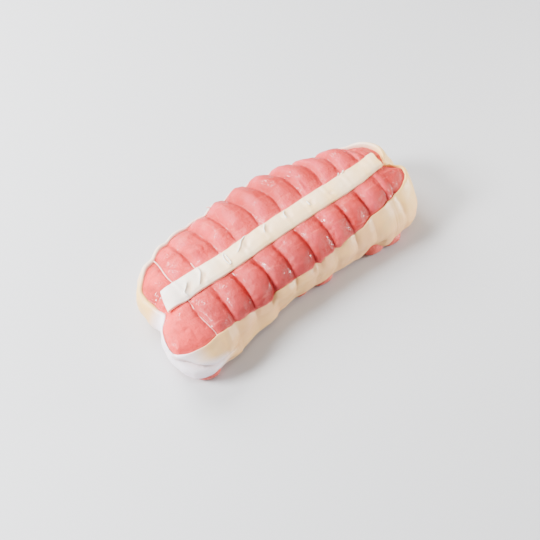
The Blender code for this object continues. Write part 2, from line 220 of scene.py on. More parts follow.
def settle(co):
    # moves points as the whole roast is uneven: grooves stray, the shape sways and swells
    u = alongRoast(co)
    height = co[:, 2]
    across = co[:, 1] - tying["ridge"]
    left, side = across > 0, np.abs(across)

    def atLoops(name):
        return np.where(left, *[np.interp(u, loopX, tying[name + hand]) for hand in ("Left", "Right")])

    drift = atLoops("drift") * ease(side, .006, .014) * (1 - .7 * left * ease(side, .03, .055))
    start, end = tying["bowReach"]
    halfWay = np.sin(math.pi * np.clip((side - start) / (end - start), 0, 1))
    toe = np.where(left, *tying["toe"]) * np.interp(u, loopX[:2], (1, 0)) * ease(side, .016, .046)
    drift = (drift + atLoops("bow") * halfWay + toe) * mm * ease(height, *tying["strayRise"])
    halves = np.interp(np.arange(21) / 2, np.arange(11), loopX)
    lift = np.interp(u, halves, tying["farLift"]) * ease(across, .014, .042)
    lift *= ease(height, *tying["liftRise"]) * mm
    moved = co + lift[:, None] * np.array([0, 1, 1])
    moved[:, 0] += drift
    for axis, seed in enumerate((3.1, 7.7)):
        moved[:, axis] += softNoise(co, unevenness["swayLength"], seed) * unevenness["sway"]
    swell = softNoise(co, unevenness["swellLength"], 11.3) * unevenness["swell"]
    moved[:, 2] += swell * ease(height, 0, unevenness["floorHold"])
    corner = unevenness["corner"]
    push = corner["wall"] * ease(height, *corner["wallRise"])
    push += corner["top"] * ease(height, *corner["topRise"])
    push *= around(co[:, :2], corner["place"], corner["radius"]) * mm
    moved[:, :2] += push[:, None] * np.array(corner["towards"])
    return moved


def copyOfNode(node, name):
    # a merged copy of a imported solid, back in quads, ready to be shaped
    piece = newObject(name, cad[node].data.copy())
    piece.data.name = name
    piece.data.materials.clear()
    openMesh(piece)
    bpy.ops.mesh.customdata_custom_splitnormals_clear()
    bpy.ops.mesh.remove_doubles(threshold=.00002)
    bpy.ops.mesh.tris_convert_to_quads(face_threshold=math.radians(70), shape_threshold=math.radians(70))
    bpy.ops.mesh.mark_sharp(clear=True)
    closeMesh()
    bpy.ops.object.shade_smooth()
    return piece


def roundOff(piece, levels):
    pickOnly(piece)
    soft = piece.modifiers.new("round", "SUBSURF")
    soft.levels = levels
    soft.render_levels = levels
    bpy.ops.object.modifier_apply(modifier=soft.name)


def regain(piece, node, rounds, share):
    # rounding draws a shape in a little: this brings it back out to its solid
    tree = treeOf(cad[node])
    co = readPoints(piece)
    back = np.array([tree.find_nearest(Vector(p))[0] for p in co]) - co
    back = np.stack([spread(piece, back[:, axis], rounds) for axis in range(3)], axis=1)
    writePoints(piece, co + back * share)


def dragged(co, drags, radius):
    # drags points along as with a soft brush: each row is a place and a move, in mm
    drags = metres(drags)
    weight = np.stack([around(co, drag[:3], radius) for drag in drags], axis=1)
    return co + weight @ drags[:, 3:] / np.maximum(weight.sum(1), 1)[:, None]


# The meat: cushions between the loops, folds, and what shows under the belt
meatShape = {
    "levels": 3,
    "veeDepth": (.0005, .0006), "veeWidth": .0016,  # left and right: each groove ends in a sharp line
    "lean": (.0003, .0004),  # how much each cushion leans to the low end
    "besideStrip": .0004, "stripSide": .0115, "stripReach": .0025,  # and rises against the strip
    "overRim": .0014,  # where the rim sags on the right, the meat swells over it
    # at the two ends the meat rises from below the proud rim to its crown within this reach
    "belowRim": .0002, "riseFromRim": .0085, "riseReach": .0076, "riseSoftness": .0008,
    "underRoll": .004, "underRollReach": .0065,  # how far it gives way under the belt's roll
    "hiddenReach": .0045,  # hidden where the belt or the strip is this near
    "topRise": (.012, .024),  # its cushions begin between these heights
    "flankShadeRight": [.55, 1, 1, .9, .9, .8, .7, .8, .5, .4],  # how dark and red the painted shade is on each cushion's higher-end side, on the right
    # mm a cushion stands prouder
    "fullLeft": [.3, .5, -.2, .6, 0, .4, -.1, .3, .1, 0],
    "fullRight": [.3, 0, .4, .1, .5, .2, .5, .1, .3, 0],
    "lumps": [(.015, .0006), (.0062, .0003)],  # size and height of its unevenness
    "wrinkles": [(.0034, .0002), (.0019, .00009)],  # finer ones, in patches
    # mm: depth and width of a fold, and its line
    "folds": [
        (.6, 1.6, [(-64, 26.2, 43), (-57.8, 27, 43), (-54, 24, 43), (-54.1, 19, 43), (-57.5, 15, 43),
            (-61.5, 15, 43)]),
        (.5, 1.4, [(-60.3, 19, 43), (-60.6, 13.8, 42.7), (-58.6, 9.5, 42)]),
        (.8, 1.2, [(37, 34, 46.5), (42, 26, 49), (43, 18, 50), (42, 11, 50)]),
        (.4, 1.2, [(-113.9, -36.6, 40.3), (-110, -35, 40.5), (-106.8, -35.6, 40.7)]),
        (.6, 1, [(-107, -38, 40), (-108, -43, 39), (-108.6, -47.5, 37)]),
        (.5, 1.2, [(-47, -20, 43), (-44, -29, 42), (-45, -36, 39)]),
        (.6, 1.2, [(30, -27, 48), (33, -33, 44), (31, -39, 38)]),
        (.9, 1.2, [(88, -16, 52.5), (87, -23, 50), (85, -29, 46)]),
        (.5, 1.2, [(-102, 30, 36), (-106, 23, 37.5), (-112, 18, 37)]),
    ],
    # mm: place, radius and height, of swells on top and of the lobes that press out under the belt
    "swells": [(-107, -15, 37, 7, 1.6), (-99, -16, 40, 7, 1)],
    "footLobes": [
        (-105.5, -54.5, 3, 10.5, 6.4), (-4, -38.5, 3, 7, 4.6), (18, -38.5, 4, 9.5, 6),
        (70, -39, 4, 9.5, 6.4), (88, -40, 5.5, 8.5, 7.2), (101, -35, 6, 6, 3.4), (-62, 52, 3.5, 9, 4),
        (42, 56, 4, 10, 4.6), (116, 18, 4, 8, 3.6),
    ],
}


def sunkUnderRim(piece, co, rimLine):
    # how far the meat goes down at the two ends, so that it rises from under the rim
    course = np.array(rimLine)
    course = course[np.argsort(np.arctan2(course[:, 1], course[:, 0]))]
    bearings, spans = np.arctan2(course[:, 1], course[:, 0]), np.hypot(course[:, 0], course[:, 1])
    course = np.vstack([course, course[:1]])
    x, y = co[:, 0], co[:, 1]
    atEnd = np.maximum(ease(-x, .07, .09) * ease(y, -.03, -.01),
                       ease(-x, .036, .052) * ease(y, .02, .034))
    atEnd = np.maximum(atEnd, ease(x, .088, .104))
    near = np.flatnonzero((co[:, 2] > .018) & (atEnd > 0))
    away, where = fromLine(co[near, :2], course[:, :2])
    along = lengthsOf(course[:, :2])
    rimHeight = np.interp(where * along[-1], along, course[:, 2])
    bearing = np.arctan2(y[near], x[near])
    beyond = np.hypot(x[near], y[near]) > np.interp(bearing, bearings, spans, period=2 * math.pi)
    crown = meatShape["riseFromRim"] * (1 - np.exp(-away / meatShape["riseReach"]))
    rise = np.where(beyond, -.4 * away, crown)
    over = (co[near, 2] - rimHeight + meatShape["belowRim"] - rise) / meatShape["riseSoftness"]
    press = np.zeros(len(co))
    press[near] = meatShape["riseSoftness"] * np.log1p(np.exp(over))
    return spread(piece, press, 6) * atEnd


def makeMeat(belt, strip, rimLine):
    piece = copyOfNode("meat", "vealMeat")
    roundOff(piece, meatShape["levels"])
    regain(piece, "meat", 5, 1)
    writePoints(piece, dragged(readPoints(piece), beltShape["drags"], beltShape["dragRadius"]))
    co, out = readFacing(piece)
    co[:, 2] -= sunkUnderRim(piece, co, rimLine)
    underBelt = spread(piece, covered(piece, treeOf(belt), meatShape["hiddenReach"]), 4)
    underStrip = spread(piece, covered(piece, treeOf(strip), meatShape["hiddenReach"]), 3)
    height = co[:, 2]
    top = ease(height, *meatShape["topRise"])
    under = np.clip(underBelt + underStrip, 0, 1)
    openly = (1 - under) * top
    gap, lobe, share = fromLoop(co)
    across = co[:, 1] - tying["ridge"]
    left = across > 0
    fullness = np.where(left, metres(meatShape["fullLeft"])[lobe], metres(meatShape["fullRight"])[lobe])
    inside = (share > 0) & (share < 1)
    bulge = np.where(inside, fullness * np.sin(math.pi * np.clip(share, 0, 1)) ** .8, 0) * openly
    bulge += np.where(inside, np.sin(2 * math.pi * share), 0) * np.where(left, *meatShape["lean"]) * openly
    endGroove = np.where(left, 1, 1 - .7 * ease(alongRoast(co), .08, .094))
    vee = np.where(left, *meatShape["veeDepth"]) * np.exp(-gap / meatShape["veeWidth"])
    bulge -= vee * openly * endGroove
    beside = hump(np.abs(across) - meatShape["stripSide"], meatShape["stripReach"])
    bulge += meatShape["besideStrip"] * beside * openly
    overRim = ease(height, .02, .028) * (1 - ease(height, .036, .046))
    bulge += meatShape["overRim"] * np.clip(sagOf(co) / .004, 0, 1) * overRim
    for size, rise in meatShape["lumps"]:
        bulge += softNoise(co, size, size * 1000) * rise * (.3 + .7 * openly)
    patches = ease(softNoise(co, .017, 2.5), -.15, .35) * np.where(left, .6, 1)
    for size, rise in meatShape["wrinkles"]:
        fine = softNoise(co * np.array([1, .6, 1]), size, size * 1000)
        bulge += fine * rise * openly * (.25 + patches)
    writePoints(piece, co + out * bulge[:, None])
    # painted shade: each cushion's side towards the higher end, turned away from the light, is darker and
    # redder, strongest on the right
    toNext = np.where(inside, 1 - share, 1)
    nearStrip = 1 - ease(across, .012, .036)
    rightShade = np.array(meatShape["flankShadeRight"])[lobe] * hump(toNext, .28)
    shadedFlank = np.where(left, (.2 + .35 * nearStrip) * hump(toNext, .22), rightShade)
    paint(piece, "shadedFlank", spread(piece, shadedFlank * openly * inside, 3))
    # painted shade: darker red down each groove between the cushions
    paint(piece, "groove", hump(gap, .0015) * openly * np.where(left, .65, .95) * endGroove)
    # painted highlight: paler, cooler pink on the side of each cushion towards the low end, which faces the
    # light
    paint(piece, "crestHighlight", hump(share - .28, .2) * inside * openly)
    # painted light: paler pink where the meat goes under the belt and the strip, lifting the shade in that
    # seam
    paint(piece, "margin", 4 * under * (1 - under) * top)
    return piece


def foldMeat(piece):
    # after the roast has settled: small folds, and lobes that swell out under the belt
    co, out = readFacing(piece)
    bulge, folded = pressFolds(co, meatShape["folds"])
    for *place, radius, height in metres(meatShape["swells"]):
        bulge += height * around(co, place, radius)
    for *place, radius, height in metres(meatShape["footLobes"]):
        away = np.linalg.norm((co - np.array(place)) / np.array([1, 1, .8]), axis=1)
        bulge += height * np.exp(-(away / radius) ** 4) * ease(co[:, 2], -.0005, .0015)
    distance, _ = fromLine(co, metres(beltShape["rollLine"]))
    gives = meatShape["underRoll"] * hump(distance, meatShape["underRollReach"])
    bulge -= gives * (1 - ease(co[:, 2], .027, .032))
    writePoints(piece, co + out * bulge[:, None])
    # painted shade in the folds
    paint(piece, "fold", folded)


# The belt of fat: a thin rim, a wall with soft creases, and a fold low on its near tip
beltShape = {
    "levels": 3,
    "innerWithin": .0011,  # its inner face is what lies this near to the meat
    "tuck": .0019, "rimTuck": .3,  # it presses this far in, and by this share at the rim
    "rimAbove": .018, "rimWave": .0007, "rimWaveLength": .013,
    # the rim round the roast, in mm: place, how far its inner edge comes in and rises, the share of its
    # width that is kept, how far its outer edge comes in and rises
    "rim": [
        (-124, -40, -.8, .4, .55, 0, .4), (-119, -52, -1, .4, .5, 0, .3),
        (-118, -22, .6, .5, .8, -.4, .6), (-113, -10, 1.5, .6, .95, -1.2, 1),
        (-114, 10, 1.5, .8, 1, -2.4, 1.2), (-112, 22, 3.2, .8, 1, -2.4, 1.6),
        (-105, 32, 3, 1, 1, -1.6, 2), (-97, 40, 2.5, .8, 1, -1.2, 2.2), (-80, 49, 2, .8, 1, -.4, 2.4),
        (-60, 56, 1.6, .8, .95, 0, 2.2), (-40, 60, .8, .5, .75, 0, 1.2), (0, 60, 0, .5, .55, 0, .4),
        (70, 52, 0, .5, .55, 0, .4), (101, 37, 3, 2, .75, 1.5, 3.6), (113, 29, 6.5, 4.4, .75, 3, 10.2),
        (121, 15, 11.5, 3.8, .8, 5, 10.3), (121, 4, 14, 3.6, .9, 5.5, 9), (116, -6, 9.5, 3, .8, 4, 5),
        (118, -16, 5, 2.4, .8, 1, 3.5), (116, -28, 4.5, 2.4, .8, 1, 2.6),
        (103, -35, 3.5, 2.2, .7, .5, 1.8), (90, -37, 1.5, 1, .55, 0, .8), (80, -38, .4, .4, .45, 0, .2),
        (40, -40, 0, 0, .42, 0, 0), (-10, -42, 0, 0, .42, 0, 0), (-50, -47, 0, 0, .42, 0, 0),
        (-90, -56, 0, .2, .42, 0, 0),
    ],
    # and then what is still to be dragged, in mm: place and move
    "drags": [
        (-88.1, 45.6, 30.5, 0, .2, 0), (-96.4, 41.5, 32, -.6, .6, 0), (-102.9, 35.6, 32.8, -.2, .4, 0),
        (-109.8, 25.3, 33.4, 0, 0, 0), (-114.8, 14.4, 33.3, 2.3, -.6, 0), (-115, 6.3, 33, 2, -1, 0),
        (-115.7, 0, 32.5, 3.1, -.5, 0), (-113.7, -6.2, 32.2, 1.7, 0, 0), (-117.9, -20, 32.6, -1.4, .5, 0),
        (-122.2, -28.7, 33, -1.2, .4, 0), (-125.3, -36.9, 33.2, -1.5, 0, 0),
        (-125.6, -42, 33.4, -2.2, -.6, 0), (-98, 44, 22, -1, 2.6, 0), (-104, 39, 22, -1.4, 1.4, 0),
        (-125, -33, 12, 2.2, 0, 0), (-125.8, -41, 12, 2.8, 0, 0), (-124.7, -49.7, 11, 3.4, -.6, 0),
        (118.4, -4.7, 46, -6, -1, 0), (119, -17.5, 44, 1.4, 2.4, 2), (114.5, -9.5, 46, 0, 1, 2),
        (-113, -50, 33.5, 0, 1, .8), (-104, -50, 33.5, 0, .9, .6), (126.8, -30, 15, -3, 1.4, 0),
        (127, -27, 30, -2.2, .8, 0), (113, -39, 12, .4, -2.6, 0), (106, -42, 12, .4, -1.8, 0),
        (108, -30.5, 44, -.6, 1.8, 0), (102.4, -33.2, 44, -.6, 2.4, 0), (94.7, -35.8, 43.5, -.6, 2.4, 0),
        (87.3, -37, 43, -.6, 2.4, 0), (79.5, -38.7, 42.4, 0, 1.8, 0), (74.5, -39.7, 42, .2, 1.8, 0),
        (66.8, -39, 41.5, .5, 1.2, 0),
    ],
    "dragRadius": .006,
    # low on the right it flares out towards the near tip: x, then mm at each
    "flareAt": (-.105, -.092, -.083, -.077, -.071, -.06, -.054, -.042, -.036, -.031, -.019, .05, .06, .066,
                .072, .078),
    "flare": (0, .6, 4.1, 6.4, 5, 3.8, 4.6, 4.8, 4.5, 1.4, 0, 0, -2, -3, -1.5, 0),
    # on the right its rim sags between the loops: where, counted in loops, and mm
    "sagAt": (0, .5, .75, 1, 1.2, 1.4, 1.6, 1.8, 2, 2.2, 2.4, 2.6, 2.8, 2.95, 3.05, 3.6, 3.8, 4, 4.2, 4.4,
              4.6, 4.8, 4.95, 5.2, 5.4, 5.6, 5.8, 6, 6.2, 6.4, 6.6, 6.8, 7, 7.25, 7.5, 7.7, 8, 8.4, 8.9,
              9.3),
    "sag": (0, -.3, 1, 1, 2, 2.1, 1.9, 2.4, 3.3, 3.2, 4, 4.8, 5, 1.9, .4, .4, 1.7, 2.3, 1.4, 1.6, 2.4,
            3.2, 1.9, 3.6, 1.8, 2.4, 2.7, 2, 2.4, 1.2, .6, .8, 2.2, .6, .5, -1, -1, -1.5, -1.2, 0),
    "lumps": [(.022, .0008), (.009, .00035), (.004, .00012)],
    "creaseWidth": .0019, "creaseFill": .00038,
    # the roll at the near tip: its lower edge tucks in over a second, lower bulge
    "roll": {"reach": .008, "cut": .0034, "cutWidth": .0016, "over": .0014, "overReach": .0026,
             "droop": .9, "under": .0009, "underAt": -.005, "underReach": .0035},
    "rollLine": [
        (-129, -36, 32.2), (-129.2, -41, 32), (-127.5, -46, 30.8), (-123.5, -51.5, 28.2),
        (-117.2, -56.5, 25.6), (-112.5, -59.5, 23.8), (-107, -60.8, 21.8), (-102.2, -61.7, 21),
        (-97, -62.2, 20.8), (-91.5, -61.2, 20.4), (-85, -59, 18.2), (-75.2, -55.4, 15.1),
    ],
    "folds": [
        (1, 1.3, [(-98.5, -61.5, 15), (-90, -59, 12), (-80, -55, 8), (-70, -51.5, 6)]),
        (1.8, 1.8, [(64, -44, 9), (73, -45, 13), (82, -44, 15), (90, -43, 15), (96, -41, 13)]),
        (.7, 1.5, [(97.6, -37.7, 40), (99, -42, 33), (99.2, -43.5, 26)]),
        (.7, 1.4, [(105, -33, 40), (107, -37, 30), (106, -38, 20)]),
        (.6, 2, [(-45, -48, 11), (-25, -45, 13), (-5, -44, 12)]),
        (.7, 1.2, [(-12, -43, 32), (-15, -45.5, 25), (-14.5, -46, 18)]),
        (.5, 2, [(30, -44, 12), (45, -45, 17), (60, -46, 18)]),
    ],
    "swells": [(-110, -59, 13, 14, 1.2), (82, -43, 7, 8, 2.2)],
}


def sagOf(co):
    # how far the rim sags on the right side, in metres
    _, lobe, share = fromLoop(co)
    sag = np.interp(lobe + share, beltShape["sagAt"], beltShape["sag"]) * mm
    return sag * ease(-co[:, 1], .02, .03)


def rimPlanAt(x, y):
    # the numbers of the rim's plan, blended from the places nearest to (x, y)
    plan = np.array(beltShape["rim"])
    away = np.hypot(x - plan[:, 0] * mm, y - plan[:, 1] * mm)
    weight = hump(away, .011) + 1e-9 / (away + 1e-4) ** 2
    return weight @ plan[:, 2:] / weight.sum()


def makeBelt():
    piece = copyOfNode("fat_belt", "beltFat")
    meatTree = treeOf(cad["meat"])
    rim = piece.vertex_groups.new(name="rim")
    foot = piece.vertex_groups.new(name="foot")
    bm = bmesh.new()
    bm.from_mesh(piece.data)
    nearest = {v.index: meatTree.find_nearest(v.co) for v in bm.verts}
    inner = {v.index for v in bm.verts if nearest[v.index][3] < beltShape["innerWithin"]}
    groups = bm.verts.layers.deform.verify()
    for edge in bm.edges:
        a, b = edge.verts
        if (a.index in inner) == (b.index in inner):
            continue
        if a.index not in inner:
            a, b = b, a  # a is the inner end, b the outer one
        middle = (a.co + b.co) / 2
        atRim = middle.z > beltShape["rimAbove"]
        if atRim:
            innerIn, innerUp, share, outerIn, outerUp = rimPlanAt(middle.x, middle.y)
            inward = Vector((a.co.x - b.co.x, a.co.y - b.co.y, 0)).normalized()
            b.co = a.co + (b.co - a.co) * share + (inward * outerIn + Vector((0, 0, outerUp))) * mm
            a.co = a.co + (inward * innerIn + Vector((0, 0, innerUp))) * mm
        for v in (a, b):
            v[groups][rim.index if atRim else foot.index] = 1
    for v in bm.verts:
        if v.index in inner:
            held = beltShape["rimTuck"] if rim.index in v[groups] else 1
            v.co -= nearest[v.index][1] * (beltShape["tuck"] * held)
    for v in bm.verts:
        if rim.index in v[groups]:
            v.co.z += noise.noise(v.co / beltShape["rimWaveLength"]) * beltShape["rimWave"]
    rimLine = np.array([v.co for v in bm.verts if v.index in inner and rim.index in v[groups]])
    bm.to_mesh(piece.data)
    bm.free()
    roundOff(piece, beltShape["levels"])
    shares = {"rim": np.zeros(len(piece.data.vertices)), "foot": np.zeros(len(piece.data.vertices))}
    for i, v in enumerate(piece.data.vertices):
        for g in v.groups:
            shares["rim" if g.group == rim.index else "foot"][i] = g.weight
    wall = ease(1 - shares["rim"] - shares["foot"], .1, .9)
    regain(piece, "fat_belt", 4, wall[:, None])
    co = dragged(readPoints(piece), beltShape["drags"], beltShape["dragRadius"])
    rimLine = dragged(rimLine, beltShape["drags"], beltShape["dragRadius"])
    co[:, 2] -= sagOf(co) * np.clip((co[:, 2] - .008) / .024, 0, 1)
    low = (1 - ease(co[:, 2], .009, .021)) * ease(-co[:, 1], .022, .036)
    co[:, 1] -= np.interp(co[:, 0], beltShape["flareAt"], beltShape["flare"]) * low * mm
    writePoints(piece, co)
    co, out = readFacing(piece)
    gap, _, _ = fromLoop(co)
    bulge = beltShape["creaseFill"] * hump(gap, beltShape["creaseWidth"]) * wall
    for size, height in beltShape["lumps"]:
        bulge += softNoise(co, size, size * 1000) * height * (.25 + .75 * wall)
    writePoints(piece, co + out * bulge[:, None])
    piece.vertex_groups.clear()
    for name, share in shares.items():
        paint(piece, name, share)
    # cream towards the two ends; cool white at the near tip and in the dent beside it, partly the fat's own
    # colour and partly painted light where cool light falls from the left
    x, y, z = co.T
    lowEnd = ease(-x, .05, .085) * ease(y, -.004, .008) * ease(z, .016, .03)
    paint(piece, "cream", np.maximum(lowEnd, ease(x, .085, .108) * ease(z, .01, .04)))
    above = ease(z, .022, .029) * ease(-y, .04, .05)
    tip = ease(-x - .022 * above, .084, .104) * ease(-y, -.004, .01)
    paint(piece, "cool", np.maximum(tip, .5 * ease(y, 0, .03) * ease(x, -.116, -.098)))
    return piece, rimLine


def foldBelt(piece):
    co, out = readFacing(piece)
    bulge, folded = pressFolds(co, beltShape["folds"])
    for *place, radius, height in metres(beltShape["swells"]):
        bulge += height * around(co, place, radius) * ease(co[:, 2], .001, .006)
    # the roll at the near tip
    roll, line = beltShape["roll"], metres(beltShape["rollLine"])
    distance, where = fromLine(co, line)
    lengths = lengthsOf(line)
    height = co[:, 2] - np.interp(where * lengths[-1], lengths, line[:, 2])
    fade = ease(where, 0, .12) * (1 - ease(where, .8, 1)) * (out[:, 2] > -.6)
    reach = np.exp(-(distance / roll["reach"]) ** 4) * fade
    cut = hump(height, roll["cutWidth"]) * reach
    over = hump(height - roll["overReach"], roll["overReach"]) * (height > 0) * reach
    under = hump(height - roll["underAt"], roll["underReach"]) * reach
    bulge += over * roll["over"] - cut * roll["cut"] + under * roll["under"]
    moved = co + out * bulge[:, None]
    moved[:, 2] -= over * roll["over"] * roll["droop"]
    writePoints(piece, moved)
    # painted shade in the folds, and painted shadow along the cut under the near tip's roll
    paint(piece, "fold", np.maximum(folded, .8 * cut))


# The strip of fat on top: waved, pressed in and nicked at each loop
stripShape = {
    "levels": 3, "edgeAngle": 50, "edgeCrease": .75,
    "endReach": .003, "cornerFrom": .006, "cornerCrease": .9,
    "relief": .0006, "pressWidth": .0022,  # the solid's presses are deeper than the real ones
    "nick": .00025, "edgeWave": .0005, "wave": .0005,
    "lumps": [(.012, .00035), (.0045, .00014)],
    "endTaper": .0026,  # the high end narrows on its right side
    "narrower": (-.0004, .001),  # left and right edge come in
    "edgeDrop": .0005,  # its long edges lie down on the meat
    # its ends, then beside the first loop, then its high corners: radius, and in mm place and move
    "drags": [
        (.011, [(-104, -5, 42, -1.4, .4, 1.2), (108, -11, 56, 0, 1, 1)]),
        (.0075, [(-95, -15, 45, .3, -1.9, -.3)]),
        (.005, [(101, 3.5, 57.5, 1.8, 1.2, .3), (100, -12.5, 57.5, 2.2, -1.4, 0)]),
    ],
    # soft pleats where the twine drags over it, to the right of each hitch, in mm
    "pleatDepth": .0006, "pleatWidth": .0022,
    "pleats": [
        [(-81.5, -2.5, 43), (-86.5, -7.5, 43), (-89.5, -12, 42)],
        [(-69, -3, 43.5), (-74, -8.5, 44), (-77.5, -12, 43.5)],
        [(-17.5, 4, 47), (-26, 1, 47), (-31, -4, 47), (-37, -7.5, 47)],
        [(-4, 1, 49), (-8, -3, 49), (-10, -6.5, 49)],
        [(16.5, 2.5, 50.5), (12.5, -1, 50.5), (12.8, -6, 50.5)], [(34.5, -1.5, 52), (34.5, -7.5, 52)],
        [(52, -4.5, 53.5), (51, -8.5, 53)],
    ],
    "ridgeHeight": .0004, "ridgeWidth": .0012,  # the strip rises a little over each hitch
}


def makeStrip():
    piece = copyOfNode("fat_strip", "stripFat")
    openMesh(piece, "DESELECT")
    bpy.ops.mesh.select_mode(type="EDGE")
    bpy.ops.mesh.edges_select_sharp(sharpness=math.radians(stripShape["edgeAngle"]))
    bpy.ops.transform.edge_crease(value=stripShape["edgeCrease"])
    bpy.ops.mesh.select_mode(type="VERT")
    bpy.ops.mesh.select_all(action="DESELECT")
    closeMesh()
    box = readPoints(piece)
    reach = stripShape["endReach"]
    endmost = (box[:, 0] > box[:, 0].max() - reach) | (box[:, 0] < box[:, 0].min() + reach)
    outer = np.abs(box[:, 1] - np.median(box[:, 1])) > stripShape["cornerFrom"]
    for v, near in zip(piece.data.vertices, endmost & outer):
        v.select = bool(near)
    bpy.ops.object.mode_set(mode="EDIT")
    bpy.ops.transform.vert_crease(value=stripShape["cornerCrease"])
    closeMesh()
    roundOff(piece, stripShape["levels"])
    co, out = readFacing(piece)
    gap, _, _ = fromLoop(co)
    across = co[:, 1] - tying["ridge"]
    half = np.abs(across).max()
    pressed = hump(gap, stripShape["pressWidth"])
    edge = ease(np.abs(across), half * .55, half)
    upper = ease(out[:, 2], -.2, .5)
    bulge = stripShape["relief"] * pressed * upper
    for size, height in stripShape["lumps"]:
        bulge += softNoise(co, size, size * 1000) * height * upper
    pleated = np.zeros(len(co))
    for line in stripShape["pleats"]:
        pleated = np.maximum(pleated, creaseAlong(co, metres(line), stripShape["pleatWidth"]) * upper)
    bulge -= stripShape["pleatDepth"] * pleated
    for line in twineShape["hitches"]:
        ridge = creaseAlong(co[:, :2], metres(line), stripShape["ridgeWidth"])
        bulge += stripShape["ridgeHeight"] * ridge * upper
    moved = co + out * bulge[:, None]
    wander = softNoise(co * np.array([1, .05, .05]), .011, 5) * stripShape["edgeWave"]
    sideways = np.sign(across) * edge
    moved[:, 1] += wander * edge - sideways * stripShape["nick"] * pressed
    taper = ease(co[:, 0], .07, .098) * ease(-across, .002, half)
    moved[:, 1] += taper * stripShape["endTaper"] - sideways * np.where(across > 0, *stripShape["narrower"])
    wave = softNoise(co * np.array([1, .4, 0]), .017, 9)
    moved[:, 2] += wave * stripShape["wave"] * upper - edge * stripShape["edgeDrop"]
    for radius, drags in stripShape["drags"]:
        moved = dragged(moved, drags, radius)
    writePoints(piece, moved)
    paint(piece, "edge", edge * (1 - .5 * pressed))
    # painted shadow beside each hitch, where the twine drags the strip into pleats
    paint(piece, "pleatShadow", np.clip(pleated, 0, 1))
    return piece


# The twine: one line laid on the meat, the belt and the strip, then twisted like real twine
twineShape = {
    "radius": .00051, "lay": .0034, "step": .00055, "strands": 3, "strandRise": .17, "sides": 9,
    "turnSteps": 240, "evening": 5, "middle": .022, "castFrom": .15, "castReach": .16,
    # mm it stands out of what it lies on; it is pulled deeper where it passes from one piece to the next
    "proudMeat": -1.35, "proudBelt": -1.25, "proudStrip": -.6, "proudUnder": .1, "proudRun": -1,
    "atSteps": 1.5, "onTopFrom": .02, "underFrom": .006,
    # where it shows on the meat: loop, then in mm from and to across the ridge (left above 0), and how proud
    "shows": [
        (0, 9, 75, .1), (0, -60, -9, -.6), (0, -19, -9, .15), (0, -60, -37, .05), (1, 9, 20, .05),
        (1, -45.5, -38.5, .15), (2, -13.5, -9, .1), (5, -13, -9, 0),
    ],
    "hitchStep": .0006, "hitchEnds": -.9, "hitchRise": 1.25,
    # bits of its hitches that lie on top of the strip, in mm
    "hitches": [
        [(-84.5, -1), (-88.5, -5.5), (-93.5, -9.3), (-91.8, -14.5)],
        [(-70.5, 6), (-72.1, -1.4), (-77, -7.2), (-80.5, -11)],
        [(-45.2, 4.6), (-49.5, 1.3), (-51.3, -3), (-51.6, -7.5), (-50.5, -10.6), (-48.8, -7.7),
         (-48.2, -1.2), (-47, 3)],
        [(-21.8, 6.8), (-30, 3.2), (-35, -1.6), (-40.6, -4.9)],
        [(-6.5, 4), (-8.5, 1.5), (-11.4, -1.2), (-12.2, -5)], [(13, 4.5), (9, .4), (8.9, -5.2)],
        [(31.8, -.5), (30.6, -3), (31.2, -6.6)],
    ],
    "tagArch": .0012,
    # loose ends, in mm: where they leave the roast, and how far they stick out
    "tags": [(68, 4, .4, 2.1, .3), (71.5, 3.6, 2.1, 1.9, .6), (-22.5, 53, -1.6, 3, 1)],
}


def evened(points, rounds, closed):
    points = np.array(points)
    for _ in range(rounds):
        before, after = np.roll(points, 1, axis=0), np.roll(points, -1, axis=0)
        if not closed:
            before[0], after[-1] = points[0], points[-1]
        points = .5 * points + .25 * (before + after)
    return points


def stepped(points, step, closed):
    # the same line in even steps
    if closed:
        points = np.vstack([points, points[:1]])
    lengths = lengthsOf(points)
    at = np.linspace(0, lengths[-1], max(int(round(lengths[-1] / step)), 2) + 1)
    line = np.stack([np.interp(at, lengths, axis) for axis in points.T], axis=1)
    return (line[:-1] if closed else line), lengths[-1]


def loopLine(k, trees):
    x, ridge, slant = loopX[k], tying["ridge"], tying["slant"]
    centre = Vector((x, ridge, twineShape["middle"]))
    turns = twineShape["turnSteps"]
    kinds, places, aways = [], [], []
    for turn in range(turns):
        angle = 2 * math.pi * turn / turns
        away = Vector((slant * math.cos(angle), math.cos(angle), math.sin(angle))).normalized()
        start, found = centre + away * twineShape["castFrom"], []
        for kind, tree in trees.items():
            place, _, _, distance = tree.ray_cast(start, -away, twineShape["castReach"])
            if place is not None:
                found.append((distance, kind, place))
        _, kind, place = min(found, key=lambda row: row[0])
        kinds.append(kind)
        places.append(place)
        aways.append(away)
    reach = [(place - centre).dot(away) for place, away in zip(places, aways)]
    points = []
    for turn, (kind, place, away) in enumerate(zip(kinds, places, aways)):
        onTop = kind == "meat" and place.z > twineShape["onTopFrom"]
        shown = [height for loop, start, end, height in twineShape["shows"]
                 if onTop and loop == k and start * mm < place.y - ridge < end * mm]
        if k > 0 and not shown:  # it dives before a step, so that it doesn't hang free there
            place = centre + away * min(reach[(turn + step) % turns] for step in (-2, -1, 0, 1, 2))
        proud = twineShape["proud" + kind.capitalize()]
        if any(kinds[(turn + step) % turns] != kind for step in (-2, -1, 1, 2)):
            proud -= twineShape["atSteps"]
        if place.z < twineShape["underFrom"]:
            proud = twineShape["proudUnder"]
        if shown:
            proud = shown[-1]
        points.append(place + away * proud * mm)
    return evened(points, twineShape["evening"], True)


def onStrip(x, y, trees, proud):
    start = Vector((x, y, .2))
    heights = [tree.ray_cast(start, Vector((0, 0, -1)))[0] for tree in trees.values()]
    return Vector((x, y, max(place.z for place in heights if place is not None) + proud * mm))


